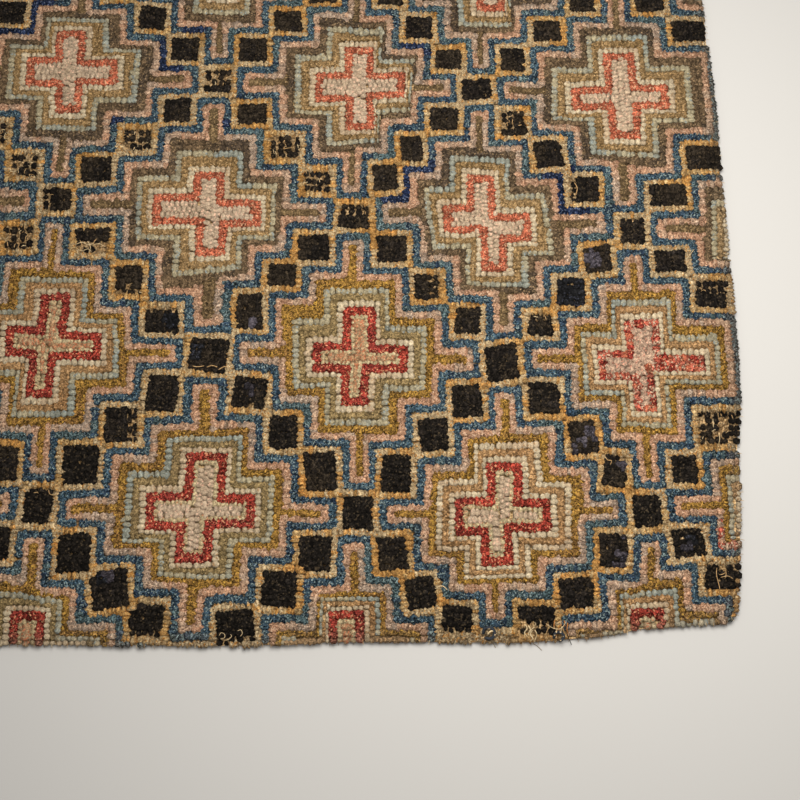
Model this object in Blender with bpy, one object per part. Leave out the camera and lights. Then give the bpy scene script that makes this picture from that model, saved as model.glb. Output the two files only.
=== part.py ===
# A hooked rug: wool loops drawn through a burlap ground, lying flat on a floor.
# The loops and the burlap are one cloth, so the rug is one closed slab with a flat
# underside, an uneven hand-cut outline and a gently lumpy pile that rolls down at its rim.
# Metres, +Z up. The origin is under the middle of the rug's box, on the floor.

import math

import bmesh
import bpy

# Driving sizes
RUG_LENGTH = 0.914          # along X, three feet
RUG_WIDTH = 0.610           # along Y, two feet
RUG_THICKNESS = 0.0080      # burlap and loops, where the pile is fullest
PILE_WAVE = 0.0005          # how far the pile's top rises and falls
RIM_DROP = 0.0022           # how far the outermost loops sink below the pile's top
RIM_WIDTH = 0.014           # width of the strip that rolls down to the rim
WIDEST_HEIGHT = 0.0035      # height at which the rim stands out furthest
FOOT_INSET = 0.0015         # how far the underside stays inside the rim
CORNER_CUT = 0.0030         # how far each corner is drawn in along both sides
CELL = 0.018                # spacing of the points on the pile's top

# How far each side runs inside the straight line of the rug's box. The first column is
# the place along the side, from its middle, and the second is the distance inwards.
RIGHT_SIDE = [
    # place_y, inward
    (-0.305, 0.0170),
    (-0.287, 0.0158),
    (-0.266, 0.0118),
    (-0.240, 0.0085),
    (-0.204, 0.0068),
    (-0.172, 0.0060),
    (-0.144, 0.0015),
    (-0.064, 0.0000),
    (0.016, 0.0006),
    (0.098, 0.0012),
    (0.190, 0.0034),
    (0.305, 0.0066),
]
BOTTOM_SIDE = [
    # place_x, inward
    (-0.457, 0.0085),
    (-0.380, 0.0042),
    (-0.240, 0.0026),
    (-0.081, 0.0008),
    (0.079, 0.0000),
    (0.199, 0.0032),
    (0.299, 0.0024),
    (0.339, 0.0050),
    (0.366, 0.0078),
    (0.388, 0.0122),
    (0.442, 0.0158),
    (0.457, 0.0165),
]
LEFT_SIDE = [
    # place_y, inward
    (-0.305, 0.0060),
    (-0.210, 0.0022),
    (-0.090, 0.0000),
    (0.040, 0.0028),
    (0.170, 0.0014),
    (0.305, 0.0074),
]
TOP_SIDE = [
    # place_x, inward
    (-0.457, 0.0078),
    (-0.330, 0.0030),
    (-0.160, 0.0000),
    (0.020, 0.0024),
    (0.210, 0.0036),
    (0.350, 0.0010),
    (0.457, 0.0062),
]


def remove_objects():
    for old in list(bpy.data.objects):
        bpy.data.objects.remove(old, do_unlink=True)


def smooth_step(t):
    t = min(max(t, 0.0), 1.0)
    return t * t * (3.0 - 2.0 * t)


def inward(side, place):
    """Distance inside the box at a place along one side, eased between the table's rows."""
    for (start, first), (end, last) in zip(side, side[1:]):
        if place <= end:
            return first + (last - first) * smooth_step((place - start) / (end - start))
    return side[-1][1]


def pile_height(x, y, to_rim):
    """Top of the pile: slow lumps, and a strip that rolls down towards the rim."""
    lumps = (
        math.sin(x / 0.061 + 0.7) * math.cos(y / 0.047 - 0.4)
        + 0.6 * math.sin(x / 0.029 - y / 0.038 + 1.9)
    ) / 1.6
    roll = (1.0 - smooth_step(to_rim / RIM_WIDTH)) * RIM_DROP
    return RUG_THICKNESS - PILE_WAVE * (1.0 - lumps) - roll


def pull_to_outline(x, y):
    """Move a point of the plain rectangle to its place between the four uneven sides."""
    half_length, half_width = RUG_LENGTH / 2, RUG_WIDTH / 2
    across = (x + half_length) / RUG_LENGTH
    along = (y + half_width) / RUG_WIDTH
    left = inward(LEFT_SIDE, y)
    right = inward(RIGHT_SIDE, y)
    bottom = inward(BOTTOM_SIDE, x)
    top = inward(TOP_SIDE, x)
    return x + left * (1.0 - across) - right * across, y + bottom * (1.0 - along) - top * along


def on_corner(x, y):
    return abs(x) > RUG_LENGTH / 2 - 1e-5 and abs(y) > RUG_WIDTH / 2 - 1e-5


def cell_count(size):
    return round(size / CELL)


def even_points(mesh):
    """Slide the outermost row of cells out, so that a narrow row lies along the rim."""
    for half, axis in ((RUG_LENGTH / 2, 0), (RUG_WIDTH / 2, 1)):
        for vert in mesh.verts:
            from_side = half - abs(vert.co[axis])
            if 1e-5 < from_side < CELL * 1.3:
                vert.co[axis] = math.copysign(half - CELL * 0.4, vert.co[axis])


def make_rug():
    rug = bmesh.new()
    bmesh.ops.create_grid(
        rug, x_segments=cell_count(RUG_LENGTH), y_segments=cell_count(RUG_WIDTH), size=0.5
    )
    for vert in rug.verts:
        vert.co.x *= RUG_LENGTH
        vert.co.y *= RUG_WIDTH
    even_points(rug)
    for vert in rug.verts:
        x, y = vert.co.x, vert.co.y
        to_rim = min(RUG_LENGTH / 2 - abs(x), RUG_WIDTH / 2 - abs(y))
        new_x, new_y = pull_to_outline(x, y)
        if on_corner(x, y):
            new_x -= math.copysign(CORNER_CUT, x)
            new_y -= math.copysign(CORNER_CUT, y)
        vert.co = (new_x, new_y, pile_height(new_x, new_y, to_rim))

    top_rim = [edge for edge in rug.edges if edge.is_boundary]
    widest = drop_ring(rug, top_rim, WIDEST_HEIGHT)
    shrink_ring(rug_verts(top_rim), FOOT_INSET * 0.8)
    foot = drop_ring(rug, widest, 0.0)
    shrink_ring(rug_verts(foot), FOOT_INSET)
    bmesh.ops.contextual_create(rug, geom=foot)
    bmesh.ops.recalc_face_normals(rug, faces=rug.faces)
    return rug


def rug_verts(edges):
    return list({vert for edge in edges for vert in edge.verts})


def drop_ring(mesh, edges, height):
    """Extrude a ring of edges and set the new ring level at a height."""
    made = bmesh.ops.extrude_edge_only(mesh, edges=edges)["geom"]
    for item in made:
        if isinstance(item, bmesh.types.BMVert):
            item.co.z = height
    return [item for item in made if isinstance(item, bmesh.types.BMEdge) and item.is_boundary]


def shrink_ring(verts, distance):
    """Draw a ring in from the rim by the same distance on all four sides."""
    for vert in verts:
        if abs(vert.co.x) > RUG_LENGTH / 2 - CELL:
            vert.co.x -= math.copysign(distance, vert.co.x)
        if abs(vert.co.y) > RUG_WIDTH / 2 - CELL:
            vert.co.y -= math.copysign(distance, vert.co.y)


def wool_material():
    wool = bpy.data.materials.new("hooked_wool")
    wool.use_nodes = True
    shader = wool.node_tree.nodes["Principled BSDF"]
    shader.inputs["Base Color"].default_value = (0.23, 0.17, 0.11, 1.0)
    shader.inputs["Roughness"].default_value = 0.92
    shader.inputs["Metallic"].default_value = 0.0
    return wool


def main():
    remove_objects()
    shape = make_rug()
    mesh = bpy.data.meshes.new("hooked_rug")
    shape.to_mesh(mesh)
    shape.free()
    mesh.shade_smooth()
    mesh.set_sharp_from_angle(angle=math.radians(50))
    mesh.materials.append(wool_material())
    rug = bpy.data.objects.new("hooked_rug", mesh)
    bpy.context.scene.collection.objects.link(rug)


main()
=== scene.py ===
import math
import random
import bpy
import numpy as np
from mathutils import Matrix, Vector, noise
from mathutils.bvhtree import BVHTree


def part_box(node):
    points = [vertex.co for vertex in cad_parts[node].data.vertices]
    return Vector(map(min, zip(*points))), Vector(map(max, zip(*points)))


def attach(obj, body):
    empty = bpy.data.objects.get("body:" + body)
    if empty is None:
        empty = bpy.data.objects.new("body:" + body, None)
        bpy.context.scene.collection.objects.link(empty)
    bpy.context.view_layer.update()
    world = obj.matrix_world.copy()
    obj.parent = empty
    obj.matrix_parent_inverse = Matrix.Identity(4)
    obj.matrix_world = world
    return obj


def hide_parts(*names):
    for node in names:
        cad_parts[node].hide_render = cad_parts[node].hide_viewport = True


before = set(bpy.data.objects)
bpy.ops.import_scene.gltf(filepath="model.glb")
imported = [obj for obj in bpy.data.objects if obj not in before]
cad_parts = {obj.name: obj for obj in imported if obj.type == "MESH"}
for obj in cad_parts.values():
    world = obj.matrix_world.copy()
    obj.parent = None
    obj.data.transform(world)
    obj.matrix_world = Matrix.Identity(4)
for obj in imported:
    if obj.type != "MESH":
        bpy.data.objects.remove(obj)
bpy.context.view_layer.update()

mm = 0.001          # the chart below is in millimetres, in the rug's own frame
random.seed(41)
noise.seed_set(41)  # the wander of the rows comes out the same at every run


def deselectAll():
    bpy.ops.object.select_all(action="DESELECT")


def linear(red, green, blue):
    # a colour named by its screen values, 0 to 255, as Blender's linear colour
    shares = (red / 255, green / 255, blue / 255)
    return [((c + 0.055) / 1.055) ** 2.4 if c > 0.04045 else c / 12.92 for c in shares]


def between(low, high):
    return low + (high - low) * random.random()


def within(size):
    return between(-size, size)


# the rug's own shape, read from the frame
rugLow, rugHigh = [[c / mm for c in corner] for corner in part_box("hooked_rug")]
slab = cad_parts["hooked_rug"]
slabTree = BVHTree.FromPolygons(
    [tuple(v.co) for v in slab.data.vertices], [tuple(p.vertices) for p in slab.data.polygons]
)


def pileTop(x, y):
    # height of the solid's top over a point of the chart, or None outside the rug
    hit = slabTree.ray_cast(Vector((x * mm, y * mm, 1.0)), Vector((0, 0, -1)))
    return None if hit[0] is None else hit[0].z / mm


rimStep = 3.0               # spacing of the points along the rug's outline


def rimOutline():
    # the rug's outline, drawn in from its box towards its middle until the solid is met
    endX, endY, _ = rugHigh
    corners = [(-endX, -endY), (endX, -endY), (endX, endY), (-endX, endY)]
    points = []
    for (x0, y0), (x1, y1) in zip(corners, corners[1:] + corners[:1]):
        count = int(math.hypot(x1 - x0, y1 - y0) / rimStep)
        for k in range(count):
            x, y = x0 + (x1 - x0) * k / count, y0 + (y1 - y0) * k / count
            reach = 1.0
            while pileTop(x * reach, y * reach) is None:
                reach -= 0.0008
            points.append((x * reach, y * reach))
    return np.array(points)


rim = rimOutline()
rimSide = np.roll(rim, -1, axis=0) - rim
rimSquared = np.maximum((rimSide ** 2).sum(1), 1e-9)


def toRim(x, y):
    # distance to the rim, and the direction that points out over it
    onSide = (x - rim[:, 0]) * rimSide[:, 0] + (y - rim[:, 1]) * rimSide[:, 1]
    along = np.clip(onSide / rimSquared, 0, 1)
    nearX, nearY = rim[:, 0] + along * rimSide[:, 0], rim[:, 1] + along * rimSide[:, 1]
    away = np.hypot(nearX - x, nearY - y)
    k = int(away.argmin())
    size = max(away[k], 1e-6)
    return away[k], (nearX[k] - x) / size, (nearY[k] - y) / size


print("rim", len(rim), "points")

# The pattern hangs on a grid of knots. Every other knot is a medallion's middle, and the
# knots between them are the squares where four chains meet. The maker's grid isn't even: its
# rows slope, by so much for each millimetre to the right of slopeFrom.
knots = dict(
    columns={
        -6: -628, -5: -518, -4: -406, -3: -292, -2: -181, -1: -67,
        0: 51, 1: 165, 2: 272, 3: 380, 4: 486, 5: 594,
    },
    rows={-3: -432, -2: -319, -1: -208, 0: -91, 1: 26, 2: 141, 3: 256, 4: 371, 5: 486},
    slope={-3: 0, -2: 0, -1: -0.008, 0: -0.035, 1: -0.055, 2: -0.05, 3: -0.03, 4: -0.02, 5: -0.02},
    slopeFrom=165,
)

# How far some knots lie off the even grid, and how far the middle of some chains bows out
# between its knots. A chain is named by its left knot, and 1 or -1 as it goes up or down.
knotShifts = {
    (0, 0): (3, -2), (1, 1): (-1.5, 1.5), (2, 0): (6, 3), (-1, 1): (-6.5, 1), (-1, -1): (1.5, 1.5),
    (1, -1): (1.5, 0), (3, -1): (-1.5, 0), (4, 0): (8, 11), (4, -2): (-8, 26), (2, -2): (-4, 10),
    (2, 2): (-10, 2), (4, 2): (4, 9),
}
chainBows = {
    (0, 0, 1): (0, 4.5), (-1, 1, -1): (-1.5, 0), (1, 1, -1): (-1.5, -1), (2, 0, 1): (3, 1),
    (3, -1, 1): (1, 4), (2, 0, -1): (8, -2), (0, 0, -1): (3.5, 0), (-1, -1, 1): (-2, 1.5),
    (-1, -1, -1): (1.5, -3), (0, -2, 1): (4.5, -1), (1, -1, -1): (-5, -4), (2, -2, 1): (1, -5),
    (1, 1, 1): (-3, 1.5), (2, 2, -1): (-3, 2),
}

# The squares that show, by their place in quarters of a knot: the middle, the halves of the dark
# inside across and up, and the turn in degrees.
squareTable = {
    (6, 6): (208, 85, 8.6, 10.8, 0), (10, 6): (317.5, 80, 10.6, 11.2, 8),
    (14, 6): (434.5, 77.5, 6.8, 10.2, 0), (-3, 5): (-42.5, 67, 11.2, 10.6, 0),
    (3, 5): (133.5, 57, 11.2, 9.6, 0), (5, 5): (186.5, 60, 10, 10.6, 6),
    (11, 5): (345, 49.5, 11.2, 10.6, 0), (13, 5): (410.5, 44, 14.4, 8.8, 3),
    (-4, 4): (-72.5, 40.5, 11.2, 9.2, 0), (4, 4): (163, 27, 11.6, 10, -3),
    (12, 4): (381, 14, 9.6, 10.8, -3), (-3, 3): (-42, 5.5, 13.2, 10.2, 0),
    (3, 3): (132, 0.5, 11.6, 10.6, 0), (5, 3): (192.5, -1.5, 11.6, 11, 0),
    (11, 3): (353, -10, 10.4, 10.6, 8), (13, 3): (408.5, -12, 12, 8.6, 2),
    (-2, 2): (-10.5, -27, 10.2, 11.8, 0), (2, 2): (107.5, -23, 11.4, 8.8, -4),
    (6, 2): (220.5, -32.5, 9.4, 10, 0), (10, 2): (331, -37.5, 10.6, 10.4, 0),
    (14, 2): (437, -38, 10.4, 11.4, 0), (-1, 1): (16.5, -59.5, 12.4, 10, 0),
    (1, 1): (83.5, -53, 9.6, 13.8, 2), (7, 1): (250.5, -61, 9.6, 10.2, -5),
    (9, 1): (306.5, -63.5, 8.8, 8.4, -2), (0, 0): (53.5, -88, 14.4, 12.8, -6),
    (8, 0): (276.5, -94, 12.4, 13.4, 7), (-1, -1): (20, -118, 11.8, 14, -3),
    (1, -1): (86, -117.5, 12.2, 11.8, -7), (7, -1): (249, -124, 10.4, 12.2, 2),
    (9, -1): (307, -122.5, 11, 11.8, -2), (-2, -2): (-9, -142.5, 12.4, 13, 0),
    (2, -2): (112, -148.5, 10, 13, 2), (6, -2): (224, -150.5, 10.8, 12.4, 5),
    (10, -2): (335, -152.5, 10, 12.4, 5), (14, -2): (434.5, -144.5, 12.8, 13.4, 0),
    (-3, -3): (-37, -172.5, 13.4, 14.6, 2), (3, -3): (141, -179, 12, 15, 3),
    (5, -3): (195.5, -180, 10.6, 13.8, 0), (11, -3): (358.5, -177.5, 9.2, 12.8, -8),
    (13, -3): (408, -177, 10.4, 10.6, 0), (-4, -4): (-65.5, -203.5, 10, 13, -6),
    (4, -4): (168.5, -209, 11.4, 12.4, -4), (12, -4): (379.5, -208, 10, 11.4, 0),
    (-3, -5): (-36.5, -238.5, 11.6, 13.4, 3), (3, -5): (137.5, -238, 11.2, 13.2, 1),
    (5, -5): (193.5, -238.5, 10, 12, 5), (11, -5): (354, -236.5, 10.6, 12, -3),
    (13, -5): (406.5, -230.5, 12.8, 10.4, 8), (-2, -6): (-9, -264, 12.8, 13.6, 8),
    (2, -6): (112, -264, 12, 12.8, -4), (6, -6): (214, -267, 10, 10.6, 8),
    (10, -6): (326, -266.5, 11.6, 10.2, 2), (14, -6): (429, -255, 10.2, 9, 0),
    (-1, -7): (18.5, -286, 11.4, 11.2, -5), (1, -7): (82.5, -291, 13.2, 11.6, 8),
    (7, -7): (240, -285, 10.6, 9, -1), (9, -7): (296.5, -286.5, 12.2, 10.4, 0),
}

# Across and up are halves of the dark inside. A square that is nearer than lastReach to the rug's
# end is its chain's last and runs past the rim. HiddenWorn is the share of worn squares among
# those that the picture cuts off.
squareSize = dict(
    across=11.0, upFar=9.8, upNear=12.6, uneven=1.0, outline=5.3, turn=3.0,
    lastReach=38.0, pastRim=4.0, hiddenWorn=0.12,
)
hidden = dict(left=-115, above=105)             # what the picture cuts off

# The medallions' yarns. Two kinds have no fine pale row inside the cross's own.
kinds = dict(
    coral=dict(
        cross="coral", bone=0.0, centre="beige", step="dun", frame="silver", border="brown",
        spike="umber",
    ),
    olive=dict(cross="red", centre="rose", step="olive", frame="silver", border="gold"),
    pale=dict(cross="red", centre="beige", step="olive", frame="silver", border="gold"),
    tan=dict(cross="red", centre="rose", step="tan", frame="silver", border="gold"),
    ivory=dict(cross="red", centre="beige", step="tan", frame="ivory", border="gold"),
    mottled=dict(
        cross="faded", bone=0.0, centre="speckled", step="tan", frame="silver", border="gold",
    ),
)

# The medallions that show, by column and row of knots. The shift is from the knot. Each arm of the
# cross, from the east anticlockwise, has its length and its reach to its left and to its right.
medallionTable = [
    # column, row, shiftX, shiftY, east, north, west, south, kind
    (0, 1, -2.0, -1.0, (41, 9, 14), (33, 13.5, 11), (44, 12, 13.5), (39, 14, 10), "coral"),
    (2, 1, -5.5, 2.0, (35, 6.5, 17), (40, 15, 7.5), (33.5, 9.5, 15), (42, 16, 4.5), "coral"),
    (4, 1, 0.0, 0.0, (36, 12, 12), (38, 12, 12), (29, 12, 12), (38, 12, 12), "coral"),
    (-1, 0, 0.0, 4.0, (39, 9, 13), (40, 10, 11), (34, 10.5, 13.5), (43, 4.5, 15.5), "tan"),
    (1, 0, 3.0, 0.0, (37, 10.5, 11), (41, 12.5, 13), (35, 11.5, 12.5), (37, 7, 13.5), "olive"),
    (3, 0, 4.0, 2.5, (46, 8, 5), (37, 13, 13.5), (35, 12, 11), (36, 7.5, 10), "mottled"),
    (0, -1, 1.0, 1.0, (41, 11.5, 14.5), (42, 11.5, 19), (39, 16, 12.5), (39, 11, 15), "pale"),
    (2, -1, 1.0, -1.0, (36, 11, 12.5), (38, 9.5, 15.5), (34, 15.5, 12), (38, 7.5, 16), "ivory"),
    (4, -1, -2.0, 1.0, (36, 12, 12), (38, 12, 12), (34, 12, 12), (38, 12, 12), "tan"),
    (-1, -2, 1.0, 0.0, (38, 12, 12), (39, 12, 12), (36, 12, 12), (38, 12, 12), "olive"),
    (1, -2, -4.0, 0.0, (38, 12, 12), (40, 12, 12), (38, 12, 12), (38, 12, 12), "tan"),
    (3, -2, -5.0, 3.0, (38, 12, 12), (38, 12, 12), (38, 12, 12), (38, 12, 12), "tan"),
]

# Squares whose pile is worn open, by place: the side it is worn from (0 east, 1 north, 2 west,
# 3 south), the share of the square where tufts stand apart, and the share of those that are lost.
wornTable = {
    (-2, 6): (1, 1.0, 0.08), (2, 6): (1, 1.0, 0.10), (-5, 5): (1, 1.0, 0.28), (3, 5): (1, 1.0, 0.04),
    (11, 5): (2, 0.25, 0.1), (-4, 4): (2, 0.35, 0.1), (4, 4): (1, 0.45, 0.0), (12, 4): (1, 0.2, 0.1),
    (-5, 3): (1, 1.0, 0.15), (-3, 3): (3, 0.62, 0.35), (-2, 2): (3, 0.3, 0.3), (6, 2): (0, 0.38, 0.15),
    (14, 2): (1, 0.55, 0.0), (9, 1): (1, 0.5, 0.15), (-2, -2): (0, 0.3, 0.1), (14, -2): (1, 1.0, 0.12),
    (11, -3): (1, 0.25, 0.3), (-4, -4): (1, 0.2, 0.3), (14, -6): (1, 0.4, 0.1), (-1, -7): (3, 0.15, 0.3),
    (1, -7): (3, 0.25, 0.1), (7, -7): (3, 0.18, 0.3), (9, -7): (3, 0.4, 0.2), (-1, 1): (1, 0.2, 0.2),
}
bareSpots = [                                   # x, y and size
    (82, -50, 2.8), (87, -125.5, 2.4), (-11, -33.5, 2.8), (-16.5, -29.5, 2.0), (405.5, -226.5, 2.4),
    (291.5, -294.5, 3.2),
]


def knotPlace(column, row):
    x = knots["columns"][column]
    shiftX, shiftY = knotShifts.get((column, row), (0, 0))
    return x + shiftX, knots["rows"][row] + knots["slope"][row] * (x - knots["slopeFrom"]) + shiftY


def isMedallion(column, row):
    return (column + row) % 2 == 1


def isHidden(x, y):
    return x < hidden["left"] or y > hidden["above"]


def makeSquares():
    # the chains: a square at each open knot, and three between it and the next, diagonally
    found = {}
    for column in knots["columns"]:
        for row in knots["rows"]:
            if isMedallion(column, row):
                continue
            startX, startY = knotPlace(column, row)
            found[4 * column, 4 * row] = makeSquare((4 * column, 4 * row), startX, startY)
            for turn in (1, -1):
                if column + 1 not in knots["columns"] or row + turn not in knots["rows"]:
                    continue
                endX, endY = knotPlace(column + 1, row + turn)
                bowX, bowY = chainBows.get((column, row, turn), (within(2), within(2)))
                for part in (1, 2, 3):
                    bow = 1.0 if part == 2 else 0.75        # a chain bows out most at its middle
                    x = startX + (endX - startX) * part / 4 + bowX * bow
                    y = startY + (endY - startY) * part / 4 + bowY * bow
                    key = (4 * column + part, 4 * row + turn * part)
                    found[key] = makeSquare(key, x, y)
    return found


def makeSquare(key, x, y):
    # the maker's squares are lower in the far half of the rug than in the near half
    lean = min(max(0.5 + key[1] / 3, 0.0), 1.0)
    usual = (squareSize["across"], squareSize["upNear"] * (1 - lean) + squareSize["upFar"] * lean)
    if key in squareTable:
        x, y, across, up, turn = squareTable[key]
    else:
        loose = squareSize["uneven"]
        x, y = x + between(-1, 1) * loose, y + between(-1, 1) * loose
        across, up = [half + between(-1, 1) * loose for half in usual]
        turn = between(-1, 1) * squareSize["turn"]
    outline = squareSize["outline"]
    sides = [across + outline, up + outline] * 2        # east, north, west, south
    reach = rugHigh[0] - abs(x)
    if 0 < reach < squareSize["lastReach"]:
        sides[0 if x > 0 else 2] = reach + squareSize["pastRim"]
    worn = wornTable.get(key, (1, 0.0, 0.0))
    if isHidden(x, y) and random.random() < squareSize["hiddenWorn"]:
        worn = (1, between(0.3, 1.0), between(0.0, 0.25))
    return dict(
        x=x, y=y, sides=sides, outline=[outline] * 4, turn=math.radians(turn), worn=worn,
        outside=abs(x) > rugHigh[0] - 3,
    )


squares = makeSquares()
compass = [(1, 0), (0, 1), (-1, 0), (0, -1)]        # east, north, west, south
spikeRoom = dict(least=23.5, usual=26.5, thin=0.92, thick=1.25)     # a spike with its outer rows


def openSpikes():
    # trims the squares on either side of a spike where they come too near each other
    for column in sorted(knots["columns"])[1:-1]:
        for row in sorted(knots["rows"])[1:-1]:
            if not isMedallion(column, row):
                continue
            for arm, (dx, dy) in enumerate(compass):
                left, right = (arm + 1) % 4, (arm + 3) % 4
                sideX, sideY = compass[left]
                one = squares[4 * column + 3 * dx + sideX, 4 * row + 3 * dy + sideY]
                other = squares[4 * column + 3 * dx - sideX, 4 * row + 3 * dy - sideY]
                apart = (one["x"] - other["x"]) * sideX + (one["y"] - other["y"]) * sideY
                short = spikeRoom["least"] - (apart - one["sides"][right] - other["sides"][left])
                if short > 0:
                    one["sides"][right] -= short / 2
                    other["sides"][left] -= short / 2


openSpikes()


def facing(square, m, arm):
    # how far along an arm's direction the square's near side lies from the medallion's middle
    dx, dy = compass[arm]
    away = (square["x"] - m["x"]) * dx + (square["y"] - m["y"]) * dy
    return away - square["sides"][(arm + 2) % 4]


def makeMedallion(column, row):
    charted = {line[:2]: line[2:] for line in medallionTable}
    x, y = knotPlace(column, row)
    if (column, row) in charted:
        shiftX, shiftY, *cross, kind = charted[column, row]
    else:
        shiftX, shiftY = within(3), within(3)
        cross = [(between(35, 41), between(9, 14), between(9, 14)) for _ in compass]
        kind = random.choice(("olive", "tan", "tan", "ivory")) if row < 1 else "coral"
    m = dict(x=x + shiftX, y=y + shiftY, cross=cross, kind=kinds[kind], arms=[])
    for arm, (dx, dy) in enumerate(compass):
        left, right = (arm + 1) % 4, (arm + 3) % 4
        sideX, sideY = compass[left]

        def at(out, side):
            return squares[4 * column + out * dx + side * sideX, 4 * row + out * dy + side * sideY]

        nearLeft, nearRight = at(3, 1), at(3, -1)
        shape = dict(
            endLeft=facing(nearLeft, m, arm), endRight=facing(nearRight, m, arm),
            left=facing(at(2, 2), m, left), right=facing(at(2, -2), m, right),
            spikeLeft=facing(nearLeft, m, left), spikeRight=facing(nearRight, m, right),
            tip=facing(at(4, 0), m, arm), spike=True,
        )
        if nearLeft["outside"] and 0 < m["x"] * dx < rugHigh[0]:
            # no room for a chain here: the arm ends along the rim
            shape["endLeft"] = shape["endRight"] = rugHigh[0] - 0.5 - m["x"] * dx
            shape["spike"] = False
        m["arms"].append(shape)
    return m


def makeMedallions():
    found = []
    columns, lines = sorted(knots["columns"]), sorted(knots["rows"])
    for column in columns[1:-1]:
        for row in lines[1:-1]:
            if isMedallion(column, row):
                found.append(makeMedallion(column, row))
    return found


medallions = makeMedallions()
print("chart", len(medallions), "medallions", len(squares), "squares")

hand = dict(slow=1.5, slowSize=34.0, quick=0.55, quickSize=11.0)     # the maker's unsteady hand
outerRows = dict(blue=5.1, pink=5.4)                        # the two rows that go round the spikes
innerRows = dict(ivory=4.6, step=4.6, frame=4.7, border=5.2)         # outwards from the cross
rowMost = dict(ivory=5.2, frame=5.4)                        # these two never come wider
doubled = dict(width=6.8, lines=(0.26, 0.74))               # a row wider than this is hooked twice
crossRows = dict(own=6.0, bone=3.0, boneExtra=0.4)          # the cross's row, and the pale one in it

# Spacing is along the row, and spread is how much the loops differ. Lean carries a yarn through
# its colours across the rug: for each millimetre to the right, for each upwards, and at the middle.
yarns = dict(
    ivory=dict(spacing=4.1, form="kernel", colours=[(171, 156, 130), (161, 141, 115)], spread=0.08),
    bone=dict(spacing=3.2, form="ribbed", colours=[(184, 166, 130), (176, 154, 118)], spread=0.08),
    silver=dict(
        spacing=4.1, form="kernel", spread=0.10,
        colours=[(143, 133, 108), (137, 131, 112), (127, 129, 118)],
    ),
    tan=dict(spacing=3.3, form="merged", colours=[(172, 135, 93), (156, 119, 80)], spread=0.07),
    olive=dict(spacing=3.3, form="merged", colours=[(146, 125, 86), (136, 115, 80)], spread=0.07),
    gold=dict(spacing=3.3, form="merged", colours=[(150, 114, 57), (138, 103, 57)], spread=0.09),
    brown=dict(
        spacing=3.3, form="merged", spread=0.12, colours=[(114, 94, 71), (99, 83, 64), (85, 72, 59)],
    ),
    umber=dict(spacing=3.3, form="merged", colours=[(120, 99, 70), (106, 87, 62)], spread=0.08),
    pink=dict(
        spacing=3.2, form="merged", spread=0.08,
        colours=[(187, 146, 117), (178, 149, 124), (168, 149, 131)],
    ),
    blue=dict(
        spacing=3.2, form="merged", spread=0.12, colours=[(64, 84, 97), (50, 65, 83), (78, 96, 99)],
    ),
    navy=dict(spacing=3.2, form="merged", colours=[(33, 43, 68), (50, 61, 88)], spread=0.18),
    yellow=dict(
        spacing=2.9, form="ribbed", spread=0.10, lean=(0.0, 0.0, -0.05),
        colours=[(185, 164, 128), (186, 161, 120), (186, 157, 110), (185, 150, 98), (181, 139, 82)],
    ),
    amber=dict(spacing=2.9, form="ribbed", spread=0.12, colours=[(188, 149, 94), (184, 138, 78)]),
    black=dict(
        spacing=4.0, form="merged", spread=0.16, lean=(0.0, 0.0042, 0.62),
        colours=[(32, 28, 24), (36, 31, 27), (37, 33, 30), (43, 37, 31), (48, 41, 33)],
    ),
    plum=dict(
        spacing=4.0, form="merged", spread=0.14,
        colours=[(46, 43, 46), (56, 52, 56), (67, 62, 67), (80, 75, 81)],
    ),
    ink=dict(spacing=4.0, form="merged", spread=0.14, colours=[(29, 29, 31), (35, 35, 37)]),
    jute=dict(
        spacing=2.4, form="merged", spread=0.12,
        colours=[(200, 168, 124), (184, 150, 106), (166, 132, 90)],
    ),
    blush=dict(spacing=3.2, form="merged", spread=0.08, colours=[(182, 152, 129), (173, 146, 124)]),
    red=dict(spacing=3.3, form="merged", colours=[(160, 65, 52), (146, 61, 52)], spread=0.14),
    coral=dict(spacing=3.3, form="merged", colours=[(188, 105, 78), (177, 97, 72)], spread=0.14),
    salmon=dict(spacing=3.0, form="merged", colours=[(171, 88, 70), (178, 109, 88)], spread=0.20),
    dun=dict(spacing=3.3, form="merged", colours=[(156, 127, 87), (145, 117, 78)], spread=0.06),
    rose=dict(spacing=3.4, form="merged", colours=[(167, 133, 99), (171, 141, 109)], spread=0.06),
    beige=dict(spacing=3.6, form="kernel", colours=[(160, 140, 117), (167, 147, 125)], spread=0.06),
)

# Where the maker changed to another yarn: x, y and size of each patch. Navy and amber also come
# in stretches, where slow noise of the given size is above the given value.
patches = dict(
    navy=[(214, 58, 20), (196, 38, 12), (330, 46, 24), (322, 30, 16)],
    plum=[
        (87, -114.5, 4.5), (342, -148, 6), (335, -155, 4), (329, -161, 3), (348, -9, 8),
        (362, -227, 4), (357, -242, 6), (407, -236, 6), (363, -173, 4), (77, -60, 4),
        (87, -61, 5), (-9, -254, 5),
    ],
    amber=[
        (134, 57, 26), (210, 88, 26), (188, -182, 30), (146, -182, 24), (252, -124, 22),
        (166, -212, 24), (345, -256, 14), (300, -268, 16), (256, -284, 9), (112, -264, 22),
        (-40, -240, 20),
    ],
    salmon=[(429.5, -215, 4), (430, -223, 4.5), (433, -230, 3.5), (441, -232.5, 3)],
    ink=[(331, -38, 16), (23, -60, 6), (43, -86, 6), (-12, -256, 6), (411, -229, 5)],
)
patchShare = dict(plum=0.8, salmon=0.7)             # of a patch's loops, how many change
allYellow = dict(left=222, right=322, below=-296)   # a part of the near edge
speckledFrom = 392                                  # where the mottled cross's inside turns red
stretches = dict(navy=0.42, navySize=60, amber=0.44, amberPatch=0.12, amberSize=9)
loops = {name: [] for name in yarns}
placed = {}                 # loops by cell, so that neighbours are found quickly
cell = 5.0
rowLimit = 6.8              # no loop is wider than this

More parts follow.
